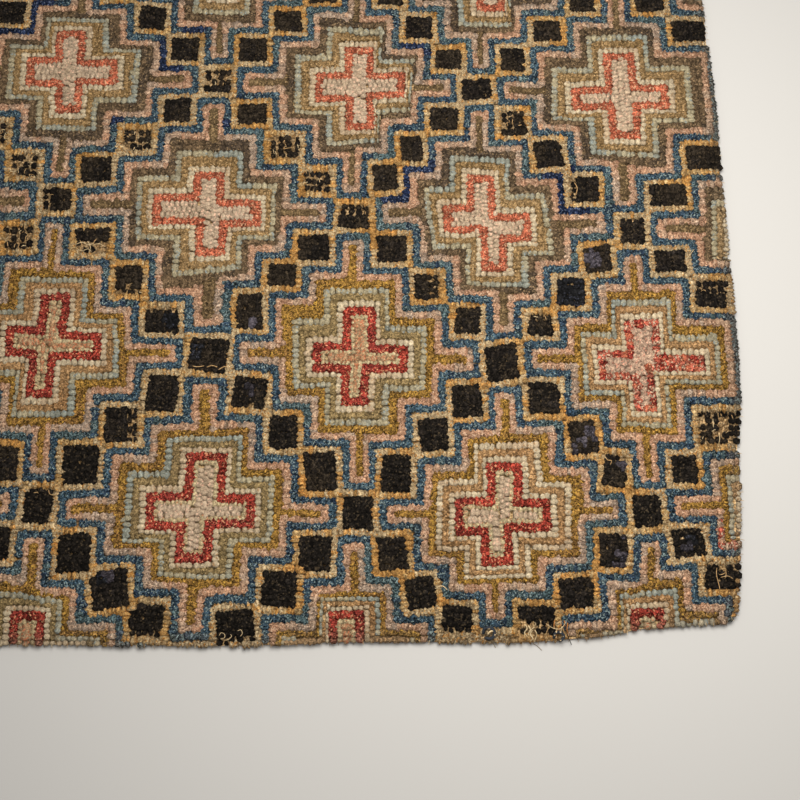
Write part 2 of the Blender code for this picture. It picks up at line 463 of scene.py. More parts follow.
# How near a new loop may stand to another
loopRoom = dict(usual=2.5, row=2.3, bone=2.2, blue=2.6, centre=2.6, jute=2.6)

# From the rim to the middle of the outermost loops is rimRoom. Past strayed outside the rim there
# is no loop, and in the strip inside rimRoom loops are no larger than along and across.
rimRoom = 2.4
rimLoops = dict(strip=1.5, along=3.6, across=4.4, strayed=1.6, farOut=2.0)

# A row skips a side below shortest, and corner is the share of its width that a corner loop has.
rowSteps = dict(shortest=0.6, uneven=0.08, corner=0.72)


def sway(x, y):
    # the same small wander for everything in one place, so that rows stay side by side
    slow = noise.noise_vector(Vector((x / hand["slowSize"], y / hand["slowSize"], 3.7)))
    quick = noise.noise_vector(Vector((x / hand["quickSize"], y / hand["quickSize"], 9.1)))
    return (
        x + hand["slow"] * slow.x + hand["quick"] * quick.x,
        y + hand["slow"] * slow.y + hand["quick"] * quick.y,
    )


def isFree(x, y, room):
    cx, cy = int(x // cell), int(y // cell)
    for i in (cx - 1, cx, cx + 1):
        for j in (cy - 1, cy, cy + 1):
            for px, py in placed.get((i, j), ()):
                if (px - x) ** 2 + (py - y) ** 2 < room * room:
                    return False
    return True


def hook(name, x, y, angle, along, across, room=loopRoom["usual"], tall=1.0):
    # one loop of a yarn, drawn in where it would hang over the rim
    if abs(x) > rugHigh[0] + rimLoops["farOut"] or abs(y) > rugHigh[1] + rimLoops["farOut"]:
        return False
    away, outX, outY = toRim(x, y)
    if away < rimRoom:
        inside = pileTop(x, y) is not None
        if not inside and away > rimLoops["strayed"]:
            return False
        shift = away - rimRoom if inside else away + rimRoom
        x, y = x + outX * shift, y + outY * shift
        away, outX, outY = toRim(x, y)
    top = pileTop(x, y)
    if top is None or not isFree(x, y, room):
        return False
    if away < rimRoom + rimLoops["strip"]:
        along, across = min(along, rimLoops["along"]), min(across, rimLoops["across"])
    placed.setdefault((int(x // cell), int(y // cell)), []).append((x, y))
    loops[name].append((x, y, angle, along, across, top * tall, away))
    return True


def walk(points, widths, spacing):
    # even steps along each side of a closed row, with a fuller loop on every corner
    steps = []
    for k, (x0, y0) in enumerate(points):
        x1, y1 = points[(k + 1) % len(points)]
        length = math.hypot(x1 - x0, y1 - y0)
        if length < rowSteps["shortest"]:
            continue
        count = max(1, round(length / spacing))
        angle, step = math.atan2(y1 - y0, x1 - x0), length / count
        for i in range(count):
            share = (i + (within(rowSteps["uneven"]) if i else 0.0)) / count
            along = max(step, widths[k] * rowSteps["corner"]) if i == 0 else step
            steps.append((x0 + (x1 - x0) * share, y0 + (y1 - y0) * share, angle, along, widths[k]))
    return steps


def isNear(x, y, spots):
    return any(math.hypot(x - px, y - py) < size for px, py, size in spots)


def faded(x, y):
    # a red cross whose yarn is bleached in places
    return random.choice(("red", "coral", "salmon", "salmon", "salmon"))


def speckled(x, y):
    # the inside of a cross that is pale, and red in its right arm
    return "salmon" if x > speckledFrom else "blush"


def blueOrNavy(x, y):
    if y < allYellow["below"] and allYellow["left"] < x < allYellow["right"]:
        return "yellow"
    if isNear(x, y, patches["navy"]):
        return "navy"
    size = stretches["navySize"]
    stretch = noise.noise(Vector((x / size, y / size, 21.5)))
    return "navy" if stretch > stretches["navy"] and isHidden(x, y) else "blue"


def pinkOrSalmon(x, y):
    changed = isNear(x, y, patches["salmon"]) and random.random() < patchShare["salmon"]
    return "salmon" if changed else "pink"


def yellowOrAmber(x, y):
    # stretches of a square's outline are a deeper orange, most of all near some of the squares
    size = stretches["amberSize"]
    stretch = noise.noise(Vector((x / size, y / size, 33.0)))
    least = stretches["amberPatch" if isNear(x, y, patches["amber"]) else "amber"]
    return "amber" if stretch > least else "yellow"


def blackPlumOrInk(x, y):
    if isNear(x, y, patches["plum"]) and random.random() < patchShare["plum"]:
        return "plum"
    return "ink" if isNear(x, y, patches["ink"]) else "black"


mixes = dict(
    faded=faded, speckled=speckled, blueOrNavy=blueOrNavy, yellowOrAmber=yellowOrAmber,
    blackPlumOrInk=blackPlumOrInk, pinkOrSalmon=pinkOrSalmon,
)
mixSpacing = dict(faded=3.2, blueOrNavy=3.2, pinkOrSalmon=3.2, yellowOrAmber=2.9)


def yarnAt(name, x, y):
    return mixes[name](x, y) if name in mixes else name


def hookRow(name, points, widths, room=loopRoom["row"]):
    spacing = yarns[name]["spacing"] if name in yarns else mixSpacing[name]
    widths = [min(width, rowLimit) for width in widths]
    for x, y, angle, along, width in walk(points, widths, spacing):
        x, y = sway(x, y)
        hook(yarnAt(name, x, y), x, y, angle, along, width, room)


def fromArm(m, arm, out, side):
    dx, dy = compass[arm]
    return m["x"] + out * dx - side * dy, m["y"] + out * dy + side * dx


def spikeScale(shape):
    # a wide spike has wider rows
    wide = (shape["spikeLeft"] + shape["spikeRight"]) / spikeRoom["usual"]
    return min(max(wide, spikeRoom["thin"]), spikeRoom["thick"])


def outerWidths(m, width):
    # the width of a row on each side of outerOutline
    found = []
    for shape in m["arms"]:
        wide = width * spikeScale(shape)
        found += [width, wide, width, wide, width, width, width] if shape["spike"] else [width] * 3
    return found


def outerOutline(m, inset, withSpikes):
    # the stepped edge that the squares leave a medallion, drawn in by inset, anticlockwise from
    # the east
    corners = []
    for arm, shape in enumerate(m["arms"]):
        after = m["arms"][(arm + 1) % 4]
        left, right = shape["left"] - inset, shape["right"] - inset
        endLeft, endRight = shape["endLeft"] - inset, shape["endRight"] - inset
        corners.append(fromArm(m, arm, endRight, -right))
        if withSpikes and shape["spike"]:
            tip = shape["tip"] - inset
            drawnIn = inset * spikeScale(shape)
            spikeLeft, spikeRight = shape["spikeLeft"] - drawnIn, shape["spikeRight"] - drawnIn
            corners += [fromArm(m, arm, endRight, -spikeRight), fromArm(m, arm, tip, -spikeRight)]
            corners += [fromArm(m, arm, tip, spikeLeft), fromArm(m, arm, endLeft, spikeLeft)]
        corners.append(fromArm(m, arm, endLeft, left))
        corners.append(fromArm(m, arm, after["right"] - inset, left))
    return corners


def crossOutline(m, inset=0.0):
    # the cross's edge drawn in by inset, three corners to an arm
    corners = []
    for arm, (reach, left, right) in enumerate(m["cross"]):
        end, near = reach - inset, m["cross"][(arm + 1) % 4][2] - inset
        corners += [fromArm(m, arm, end, inset - right), fromArm(m, arm, end, left - inset)]
        corners.append(fromArm(m, arm, near, left - inset))
    return corners


def spans(gap):
    # how the rows share a gap between the cross and the pink row: the two that may grow take what
    # the other two leave
    total = sum(innerRows.values())
    kept = {}
    for part, width in innerRows.items():
        kept[part] = min(width * gap / total, rowMost.get(part, gap))
    spare = gap - sum(kept.values())
    found, start = {}, 0.0
    for part, width in kept.items():
        width += 0.0 if part in rowMost else spare / 2
        found[part] = (start, width)
        start += width
    return found


def rowBetween(outer, inner, part, share):
    # a row's line between two outlines, and its width on each side
    points, widths = [], []
    for (x0, y0), (x1, y1) in zip(outer, inner):
        ends = []
        for far, near in ((x0, x1), (y0, y1)):
            start, width = spans(abs(far - near))[part]
            middle = 0.5 if width < doubled["width"] else share
            ends.append(near + math.copysign(start + width * middle, far - near))
        points.append(tuple(ends))
    for k in range(len(outer)):
        (x0, y0), (x1, y1) = outer[k], outer[(k + 1) % len(outer)]
        (u0, v0), (u1, v1) = inner[k], inner[(k + 1) % len(inner)]
        upright = abs(x1 - x0) < abs(y1 - y0)
        gap = (abs(x0 - u0) + abs(x1 - u1)) / 2 if upright else (abs(y0 - v0) + abs(y1 - v1)) / 2
        width = spans(gap)[part][1]
        widths.append(width if width < doubled["width"] else width / 2)
    return points, widths


def crossWidths(kind):
    return crossRows["own"], kind.get("bone", crossRows["bone"])


def hookMedallion(m):
    kind = m["kind"]
    blueWidth, pinkWidth = outerRows["blue"], outerRows["pink"]
    own, bone = crossWidths(kind)
    hookRow(kind["cross"], crossOutline(m, own / 2), [own] * 12)
    if bone:
        widths = [bone + crossRows["boneExtra"]] * 12
        hookRow("bone", crossOutline(m, own + bone / 2), widths, loopRoom["bone"])
    outer, inner = outerOutline(m, blueWidth + pinkWidth, False), crossOutline(m)
    for part in innerRows:
        for share in doubled["lines"]:
            line, widths = rowBetween(outer, inner, part, share)
            hookRow(kind.get(part, part), line, widths)
    for arm, shape in enumerate(m["arms"]):
        if shape["spike"]:
            hookSpike(m, arm, shape)
    pink = outerOutline(m, blueWidth + pinkWidth / 2, True)
    hookRow("pinkOrSalmon", pink, outerWidths(m, pinkWidth))
    hookCentre(m)


spikeRows = dict(least=4.4, double=7.0, tall=1.05)          # a spike wider than double has two rows
centreRows = dict(width=4.4, least=2.0, extra=0.6)          # the short rows inside a cross


def hookSpike(m, arm, shape):
    # a row or two of the border's yarn, or one like it, out along the middle of the spike
    name = m["kind"].get("spike", m["kind"]["border"])
    step = yarns[name]["spacing"]
    inset = outerRows["blue"] + outerRows["pink"]
    side = (shape["spikeLeft"] - shape["spikeRight"]) / 2
    width = shape["spikeLeft"] + shape["spikeRight"] - 2 * inset * spikeScale(shape)
    width = max(width, spikeRows["least"])
    out = min(shape["endLeft"], shape["endRight"]) - inset + step * 0.4
    angle = math.atan2(compass[arm][1], compass[arm][0])
    lines = (side - width / 4, side + width / 4) if width > spikeRows["double"] else (side,)
    while out < shape["tip"] - inset:
        for line in lines:
            x, y = sway(*fromArm(m, arm, out, line))
            hook(name, x, y, angle, step, width / len(lines), loopRoom["usual"], spikeRows["tall"])
        out += step


def hookCentre(m):
    # short rows from the middle of the cross out along each arm
    name = m["kind"]["centre"]
    inside = sum(crossWidths(m["kind"]))
    step = yarns["beige"]["spacing"]
    for arm in (1, 3, 0, 2):
        reach, left, right = m["cross"][arm]
        room = left + right - 2 * inside
        count = max(1, round(room / centreRows["width"]))
        width = max(room, centreRows["least"]) / count + centreRows["extra"]
        angle = math.atan2(compass[arm][1], compass[arm][0])
        for k in range(count):
            side = (k + 0.5) * room / count - right + inside
            out = step * (0.5 * (k % 2) - 2)                # every other row starts half a step on
            while out < reach - inside - step * 0.3:
                x, y = sway(*fromArm(m, arm, out, side))
                hook(yarnAt(name, x, y), x, y, angle, step, width, loopRoom["centre"])
                out += step


def onSquare(q, u, v):
    # a place in the square's own turned frame, on the chart
    c, s = math.cos(q["turn"]), math.sin(q["turn"])
    return q["x"] + u * c - v * s, q["y"] + u * s + v * c


def sidesWithin(q, share=1.0):
    # how far the square reaches on each side, from a share of the way through its outline
    return [side - wide * share for side, wide in zip(q["sides"], q["outline"])]


def squareCorners(q, share):
    east, north, west, south = sidesWithin(q, share)
    corners = ((east, -south), (east, north), (-west, north), (-west, -south))
    return [onSquare(q, u, v) for u, v in corners]


# Where a square is worn its tufts stand apart, and the ground's jute shows between them. The pitch
# follows the share of the square that is worn: more than the first number, then the pitch.
tufts = dict(
    pitches=[(0.5, 5.7), (0.3, 5.2), (-1.0, 4.3)], tall=0.92, loose=1.0, firm=0.4,
    small=0.80, large=1.12, along=1.5, across=1.26, turn=0.6,
)
wholePile = dict(along=0.88, across=1.04)
web = dict(step=0.9, loose=0.3, along=1.7, across=2.0, tall=0.80)


def isOpen(q, u, v):
    side, share, _ = q["worn"]
    reach = q["sides"][side] - q["outline"][side]
    return share > 0 and (u, v, -u, -v)[side] / max(reach, 1.0) > 1 - 2 * share


def hookSquare(q):
    hookRow("yellowOrAmber", squareCorners(q, 0.5), q["outline"])
    east, north, west, south = sidesWithin(q)
    inside = "blackPlumOrInk" if pileTop(q["x"], q["y"]) else "yellow"
    pitch = next(wide for least, wide in tufts["pitches"] if q["worn"][1] > least)
    upCount, acrossCount = round((north + south) / pitch), round((east + west) / pitch)
    stepUp, stepAcross = (north + south) / max(upCount, 1), (east + west) / max(acrossCount, 1)
    for i in range(acrossCount):
        for j in range(upCount):
            u, v = (i + 0.5) * stepAcross - west, (j + 0.5) * stepUp - south
            apart = isOpen(q, u, v)
            loose = tufts["loose" if apart else "firm"]
            x, y = sway(*onSquare(q, u + between(-1, 1) * loose, v + between(-1, 1) * loose))
            if isNear(x, y, bareSpots) or apart and random.random() < q["worn"][2]:
                continue
            yarn = yarnAt(inside, x, y)
            if apart:
                size = min(stepAcross, stepUp) * between(tufts["small"], tufts["large"])
                angle = within(tufts["turn"])
                along, across = size / tufts["along"], size / tufts["across"]
                hook(yarn, x, y, angle, along, across, loopRoom["usual"], tufts["tall"])
            else:
                along, across = stepAcross * wholePile["along"], stepUp * wholePile["across"]
                hook(yarn, x, y, between(0, math.pi), along, across)


def hookWeb(q):
    # the ground's threads between a worn square's tufts
    east, north, west, south = sidesWithin(q)
    for u in np.arange(-west, east, web["step"]):
        for v in np.arange(-south, north, web["step"]):
            x, y = onSquare(q, u + within(web["loose"]), v + within(web["loose"]))
            if isOpen(q, u, v) or isNear(x, y, bareSpots):
                angle = between(0, math.pi)
                hook("jute", x, y, angle, web["along"], web["across"], loopRoom["jute"], web["tall"])


def isOnRug(q):
    # all of the square, or a part of it, is on the rug
    return not q["outside"] and abs(q["y"]) < rugHigh[1] + 20


seen = [q for q in squares.values() if isOnRug(q)]
for m in medallions:
    hookMedallion(m)
for q in seen:
    hookSquare(q)
for m in medallions:
    outline = outerOutline(m, outerRows["blue"] / 2, True)
    hookRow("blueOrNavy", outline, outerWidths(m, outerRows["blue"]), loopRoom["blue"])
for q in seen:
    hookWeb(q)
print("rows", sum(len(found) for found in loops.values()), "loops")


def squareAt(x, y):
    for q in seen:
        dx, dy = x - q["x"], y - q["y"]
        east, north, west, south = q["sides"]
        if -west < dx < east and -south < dy < north:
            return q
    return None


def nearestYarn(nearby, x, y):
    # the yarn of the closest loop, for a gap that a row's end or the rim left
    gaps = {name: ((table - (x, y)) ** 2).sum(1).min() for name, table in nearby.items()}
    return min(gaps, key=gaps.get)


filler = dict(step=1.5, loose=0.4, along=3.4, across=4.0, room=3.2)


def fillGaps():
    # whatever the rows left open
    step, count = filler["step"], 0
    wool = [name for name, found in loops.items() if found and name != "jute"]
    nearby = {name: np.array(loops[name])[:, :2] for name in wool}
    for x in np.arange(rugLow[0] + step, rugHigh[0] - 1, step):
        for y in np.arange(rugLow[1] + step, rugHigh[1] - 1, step):
            if not isFree(x, y, filler["room"]):
                continue
            px, py = x + within(filler["loose"]), y + within(filler["loose"])
            q = squareAt(px, py)
            if q and q["worn"][1] > 0:
                continue
            name, angle = nearestYarn(nearby, px, py), between(0, math.pi)
            count += hook(name, px, py, angle, filler["along"], filler["across"], filler["room"])
    return count


print("gaps filled", fillGaps())

# Foot is a loop's width at its foot, and shoulder the height where it is fullest. Lift is the
# height of a smaller ring above that and crown its width, or 0 for a plain rounded top. Along and
# across are how far a loop reaches into its neighbours.
loopForms = dict(
    kernel=dict(foot=0.42, shoulder=0.68, lift=0.93, crown=0.76, along=1.17, across=1.14, uneven=0.05),
    ribbed=dict(foot=0.38, shoulder=0.82, lift=0.0, crown=0.0, along=1.24, across=1.28, uneven=0.11),
    merged=dict(foot=0.36, shoulder=0.86, lift=0.0, crown=0.0, along=1.50, across=1.26, uneven=0.09),
)
loopPlan = dict(sides=6, foot=1.2, fullAlong=1.12, fullAcross=1.02, crown=1.06)     # out of round
loopFoot = 0.12             # the underside of every loop, just above the floor
loopMix = dict(swell=0.05, sunk=0.25, least=-0.9, most=0.1, turn=0.09, rimLean=0.015, lean=0.055)


def modelLoop(form):
    # a drawn-up loop of yarn, one unit wide, long and high: narrow at its foot, full at its
    # shoulder
    deselectAll()
    bpy.ops.mesh.primitive_circle_add(
        vertices=loopPlan["sides"], radius=0.5, fill_type="NGON", location=(0, 0, 0)
    )
    loop = bpy.context.object
    bpy.ops.object.mode_set(mode="EDIT")
    bpy.ops.mesh.select_all(action="SELECT")
    foot = form["foot"]
    bpy.ops.transform.resize(value=(foot, foot * loopPlan["foot"], 1))
    bpy.ops.mesh.extrude_region_move(TRANSFORM_OT_translate={"value": (0, 0, form["shoulder"])})
    full = (loopPlan["fullAlong"] / foot, loopPlan["fullAcross"] / foot, 1)
    bpy.ops.transform.resize(value=full)
    if form["lift"]:
        rise = form["lift"] - form["shoulder"]
        bpy.ops.mesh.extrude_region_move(TRANSFORM_OT_translate={"value": (0, 0, rise)})
        bpy.ops.transform.resize(value=(form["crown"], form["crown"] * loopPlan["crown"], 1))
    bpy.ops.mesh.poke(offset=0.0)
    bpy.ops.object.mode_set(mode="OBJECT")
    peak = max(v.co.z for v in loop.data.vertices)
    crown = [v for v in loop.data.vertices if peak - v.co.z < 1e-4]
    min(crown, key=lambda v: math.hypot(v.co.x, v.co.y)).co.z = 1.0
    bpy.ops.object.mode_set(mode="EDIT")
    bpy.ops.mesh.select_all(action="SELECT")
    bpy.ops.mesh.normals_make_consistent(inside=False)
    bpy.ops.object.mode_set(mode="OBJECT")
    points = np.array([v.co[:] for v in loop.data.vertices])
    faces = [list(p.vertices) for p in loop.data.polygons]
    bpy.data.objects.remove(loop, do_unlink=True)
    return points, faces


loopModels = {name: modelLoop(form) for name, form in loopForms.items()}

# The rim is trodden and dull, all but its dark yarns. A yarn drifts slowly through its colours.
rimDust = dict(tint=(168, 150, 124), reach=11.0, most=0.42, spared=("black", "plum", "ink"))
drift = dict(size=26, depth=1.5, middle=0.35, least=-0.35, most=0.4, speck=0.28)


def yarnTint(name, found, rng):
    # each loop's own colour: slow drifts along the yarn, and a little of each colour at random
    settings = yarns[name]
    colours = np.array([linear(*c) for c in settings["colours"]])
    scale = drift["size"]
    slow = np.array([noise.noise(Vector((x / scale, y / scale, 5.5))) for x, y, *_ in found])
    slow = slow * drift["depth"] + drift["middle"]
    if "lean" in settings:
        alongLean, upLean, middle = settings["lean"]
        leaning = [x * alongLean + y * upLean + middle for x, y, *_ in found]
        slow += np.clip(leaning, drift["least"], drift["most"])
    place = np.clip(slow + rng.normal(0, drift["speck"], len(found)), 0, 0.999)
    pick = place * (len(colours) - 1)
    lower = np.minimum(pick.astype(int), len(colours) - 2)
    share = (pick - lower)[:, None]
    tint = colours[lower] * (1 - share) + colours[lower + 1] * share
    tint *= (1 + rng.normal(0, settings["spread"], len(found)))[:, None]
    if name in rimDust["spared"]:
        return tint
    away = np.array([loop[6] for loop in found])
    dust = (np.clip(1 - away / rimDust["reach"], 0, 1) * rimDust["most"])[:, None]
    return tint * (1 - dust) + np.array(linear(*rimDust["tint"])) * dust


def buildLoops(name, found, seed):
    # all the loops of one yarn as one piece, each a little out of true
    rng = np.random.default_rng(seed)
    form = loopForms[yarns[name]["form"]]
    points, faces = loopModels[yarns[name]["form"]]
    table = np.array(found)
    count, size = len(table), len(points)
    shape = np.repeat(points[None, :, :], count, 0)
    shape[:, :, :2] *= 1 + rng.normal(0, form["uneven"], (count, size, 2))
    shape[:, :, 2] *= 1 - np.abs(rng.normal(0, form["uneven"] * 0.5, (count, size)))
    swell = 1 + rng.normal(0, loopMix["swell"], (count, 2))
    x = shape[:, :, 0] * (table[:, 3] * swell[:, 0] * form["along"])[:, None]
    y = shape[:, :, 1] * (table[:, 4] * swell[:, 1] * form["across"])[:, None]
    offset = rng.normal(-loopMix["sunk"], loopMix["sunk"], count)
    tall = (table[:, 5] + np.clip(offset, loopMix["least"], loopMix["most"]))[:, None]
    z = loopFoot + shape[:, :, 2] * (tall - loopFoot)
    angle = table[:, 2] + rng.normal(0, loopMix["turn"], count)
    c, s = np.cos(angle)[:, None], np.sin(angle)[:, None]
    atRim = table[:, 6] < rimRoom + rimLoops["strip"]
    loose = np.where(atRim, loopMix["rimLean"], loopMix["lean"])
    leanX, leanY = [(rng.normal(0, 1, count) * loose)[:, None] for _ in range(2)]
    worldX = table[:, 0][:, None] + x * c - y * s + leanX * z
    worldY = table[:, 1][:, None] + x * s + y * c + leanY * z
    verts = np.stack([worldX, worldY, z], 2).reshape(-1, 3) * mm
    allFaces = [[v + k * size for v in face] for k in range(count) for face in faces]
    tint = np.repeat(yarnTint(name, found, rng), size, 0)
    return makePiece(name + "Loops", verts, allFaces, tint)


def makePiece(name, verts, faces, tint):
    # a piece of the pile from its points and each point's colour
    mesh = bpy.data.meshes.new(name)
    mesh.from_pydata(verts, [], faces)
    shade = np.ones((len(verts), 4), np.float32)
    shade[:, :3] = np.clip(tint, 0.002, 0.95)
    colour = mesh.color_attributes.new("yarn", "FLOAT_COLOR", "POINT")
    colour.data.foreach_set("color", shade.ravel())
    flat = mesh.uv_layers.new(name="OFBake")
    corner = np.empty(len(mesh.loops), np.int32)
    mesh.loops.foreach_get("vertex_index", corner)
    low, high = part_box("hooked_rug")
    place = verts[corner][:, :2]
    across = (place - np.array(low[:2])) / (high[0] - low[0])
    flat.data.foreach_set("uv", np.clip(across, 0, 1).astype(np.float32).ravel())
    mesh.shade_smooth()
    piece = bpy.data.objects.new(name, mesh)
    bpy.context.scene.collection.objects.link(piece)
    return piece


strandTints = dict(
    cream=(196, 174, 136), jute=(170, 138, 96), rust=(158, 106, 58), dark=(34, 30, 28),
    slate=(46, 50, 56),
)
frayed = dict(count=26, left=284, right=318, low=-297, high=-286, rustFrom=298)
broken = dict(perSquare=9, short=1.5, long=4.0)       # threads over the worn squares
fringe = dict(spacing=5.0, out=1.6, width=0.35)       # fibres that stand out all round the rim
strayTable = [
    # tint, width, then points along the strand
    ("cream", 0.4, (303, -289, 7.4), (308, -292, 8.3), (313, -292, 8.4), (317, -287, 7.4)),
    ("dark", 0.6, (316, -290, 7.5), (317, -295, 7.6), (319, -300, 6.0), (321, -303, 1.2)),
    ("jute", 0.35, (292, -299, 4.0), (294, -302, 1.4), (297, -304, 0.5), (300, -307, 0.4)),
    ("cream", 0.5, (264, -297, 4.0), (265, -301, 1.4), (267, -305, 0.5)),
    (
        "cream", 0.4, (71, -297, 7.2), (72.5, -295, 8.2), (75, -296, 8.3), (75, -298.5, 8.2),
        (72, -299, 7.2),
    ),
    ("cream", 0.4, (75.5, -300, 7.2), (78, -299.5, 8.2), (80, -297.5, 8.2), (79, -296, 7.2)),
    ("cream", 0.4, (84, -293.5, 7.2), (86.5, -293, 8.2), (87.5, -295.5, 8.2), (86, -297.5, 7.2)),
    ("jute", 0.6, (42, -97, 6.6), (46, -98, 7.7), (51, -97, 6.8)),
    ("jute", 0.65, (53, -98, 6.6), (57, -97, 7.7), (61, -98, 6.8)),
    ("jute", 0.7, (62, -100, 6.6), (66, -98, 7.6), (69, -98, 6.8)),
    ("jute", 0.5, (427, -249, 6.6), (426, -254, 7.8), (427, -260, 7.8), (428, -265, 6.8)),
    ("jute", 0.45, (432, -247, 6.8), (433, -253, 7.8), (432, -257, 6.8)),
    ("jute", 0.45, (429, -256, 6.8), (434, -255, 7.8), (438, -257, 6.8)),
    ("jute", 0.5, (350.5, -167, 7.0), (352, -170, 8.0), (355, -170.5, 7.8), (354, -173.5, 7.0)),
    ("jute", 0.5, (-58.5, -192, 7.0), (-57, -195.5, 8.0), (-53, -196, 7.8), (-52, -193, 7.0)),
    ("cream", 0.5, (-54, 2, 6.6), (-49, 3.5, 7.6), (-44, 1.5, 7.6), (-40, 3, 6.6)),
    ("jute", 0.6, (-51, 6, 6.6), (-49, 1, 7.6), (-51, -4, 6.6)),
    ("cream", 0.5, (-45, 5, 6.6), (-42, 0, 7.6), (-43, -5, 6.6)),
    ("jute", 0.6, (-38, 7, 6.6), (-40, 2, 7.6), (-37, -1, 6.6)),
    ("cream", 0.4, (-52, -2, 6.6), (-48, -3.5, 7.5), (-44, -2, 7.5), (-41, -4, 6.6)),
    ("cream", 0.5, (-41, 1, 6.6), (-36, 2.5, 7.5), (-32, 1, 6.6)),
    ("jute", 0.5, (-34, 5, 6.6), (-33, 0, 7.5), (-35, -4, 6.6)),
    ("jute", 0.6, (337, 55, 7.0), (339, 50, 8.0), (338, 44, 7.2)),
    (
        "slate", 2.4, (258, -296, 4.0), (259, -292, 7.6), (264, -292, 8.2), (266, -296, 7.8),
        (263, -299, 7.0), (259, -298, 5.0),
    ),
    ("cream", 1.2, (261, -296, 8.2), (263, -294, 9.0), (265, -294, 8.4)),
    (
        "slate", 2.2, (308, -299, 4.0), (309, -295, 7.6), (313, -295, 8.0), (315, -298, 7.0),
        (312, -301, 5.0),
    ),
    ("cream", 0.6, (224, -264, 7.0), (229, -262, 8.6), (233, -265, 7.2)),
    ("cream", 0.5, (421, -11, 6.8), (425, -6, 8.6), (428, -2, 7.0)),
    ("dark", 0.5, (357, 25, 7.0), (361, 22, 8.4), (366, 24, 7.0)),
]


def smoothPath(points):
    # a curve through the points, with four steps between each two
    ends = [points[0]] + list(points) + [points[-1]]
    path = []
    for k in range(1, len(ends) - 2):
        p0, p1, p2, p3 = [np.array(e, float) for e in ends[k - 1:k + 3]]
        for t in np.linspace(0, 1, 5)[:4 if k < len(ends) - 3 else 5]:
            square, cube = 2 * p0 - 5 * p1 + 4 * p2 - p3, 3 * p1 - p0 - 3 * p2 + p3
            path.append(0.5 * (2 * p1 + (p2 - p0) * t + square * t ** 2 + cube * t ** 3))
    return path


def modelStrand(width, points, sides=5):
    # a thin round strand along a smooth path, thinner at both ends
    path = smoothPath(points)
    verts, faces = [], []
    for k, place in enumerate(path):
        ahead = path[min(k + 1, len(path) - 1)] - path[max(k - 1, 0)]
        ahead /= max(np.linalg.norm(ahead), 1e-6)
        side = np.cross(ahead, (0.1, 0.2, 1.0))
        side /= np.linalg.norm(side)
        up = np.cross(side, ahead)
        half = width / 2 * (0.55 if k in (0, len(path) - 1) else 1.0)
        for turn in range(sides):
            angle = 2 * math.pi * turn / sides
            verts.append(place + half * (math.cos(angle) * side + math.sin(angle) * up))
    for k in range(len(path) - 1):
        for turn in range(sides):
            a, b = k * sides + turn, k * sides + (turn + 1) % sides
            faces.append([a, a + sides, b + sides, b])
    faces.append(list(range(sides)))
    faces.append([(len(path) - 1) * sides + turn for turn in reversed(range(sides))])
    return verts, faces


def frayedStrands():
    # the frayed place at the near edge
    found = []
    for _ in range(frayed["count"]):
        x, y = between(frayed["left"], frayed["right"]), between(frayed["low"], frayed["high"])
        rusty = x > frayed["rustFrom"] and random.random() < 0.5
        tint = "rust" if rusty else random.choice(("jute", "cream"))
        bend = [(x + within(1.6), y - 2.8 * k, 7.4 - 1.2 * k + within(0.6)) for k in range(4)]
        if toRim(*bend[-1][:2])[0] > 0.5 and pileTop(*bend[-1][:2]):
            found.append((tint, between(0.5, 1.0), *bend))
    return found


def brokenThreads():
    # short ends of the ground's thread where a square is worn open
    found = []
    for q in seen:
        east, north, west, south = sidesWithin(q)
        for _ in range(round(broken["perSquare"] * q["worn"][1])):
            u, v = between(-west, east), between(-south, north)
            x, y = onSquare(q, u, v)
            if not isOpen(q, u, v) or not pileTop(x, y) or toRim(x, y)[0] < 4:
                continue
            angle = random.choice((0.0, math.pi / 2, math.pi / 2)) + within(0.4)
            reach = between(broken["short"], broken["long"])
            dx, dy = math.cos(angle) * reach, math.sin(angle) * reach
            middle = (x + within(1), y + within(1), 6.4)
            bend = [(x - dx, y - dy, 4.6), middle, (x + dx, y + dy, 4.8)]
            found.append((random.choice(("cream", "jute")), between(0.35, 0.6), *bend))
    return found


def rimFibres():
    # single fibres that lean out over the floor
    found = []
    for x, y in rim[::round(fringe["spacing"] / rimStep)]:
        _, outX, outY = toRim(x * 0.99, y * 0.99)
        along = within(0.8)
        reach = between(0.3, 1.0) * fringe["out"]
        tipX, tipY = outX - outY * along, outY + outX * along
        low = between(1.2, 5.6)
        root = (x - outX * 2.0, y - outY * 2.0, low + 0.4)
        tip = (x + tipX * reach, y + tipY * reach, low + between(-0.8, 0.6))
        found.append((random.choice(("cream", "jute", "jute")), fringe["width"], root, tip))
    return found


def buildStrands():
    verts, faces, tints = [], [], []
    for tint, width, *points in strayTable + frayedStrands() + brokenThreads() + rimFibres():
        more, around = modelStrand(width, points)
        faces += [[v + len(verts) for v in face] for face in around]
        verts += more
        tints += [linear(*strandTints[tint])] * len(more)
    return makePiece("looseStrands", np.array(verts) * mm, faces, np.array(tints))


class Wire:
    # a socket that can be used in plain sums

    def __init__(self, socket):
        self.socket = socket
        self.tree = socket.id_data

    def node(self, kind, settings, inputs, output=0):
        made = self.tree.nodes.new(kind)
        for name, value in settings.items():
            if name == "stops":
                setStops(made.color_ramp, value)
            else:
                setattr(made, name, value)
        for name, value in inputs.items():
            feed(self.tree, made.inputs[name], value)
        return Wire(made.outputs[output])

    def maths(self, operation, first, second):
        return self.node("ShaderNodeMath", {"operation": operation}, {0: first, 1: second})

    def __add__(self, other):
        return self.maths("ADD", self, other)

    def __sub__(self, other):
        return self.maths("SUBTRACT", self, other)

    def __mul__(self, other):
        return self.maths("MULTIPLY", self, other)

    def __rsub__(self, other):
        return self.maths("SUBTRACT", other, self)

    __radd__ = __add__
    __rmul__ = __mul__


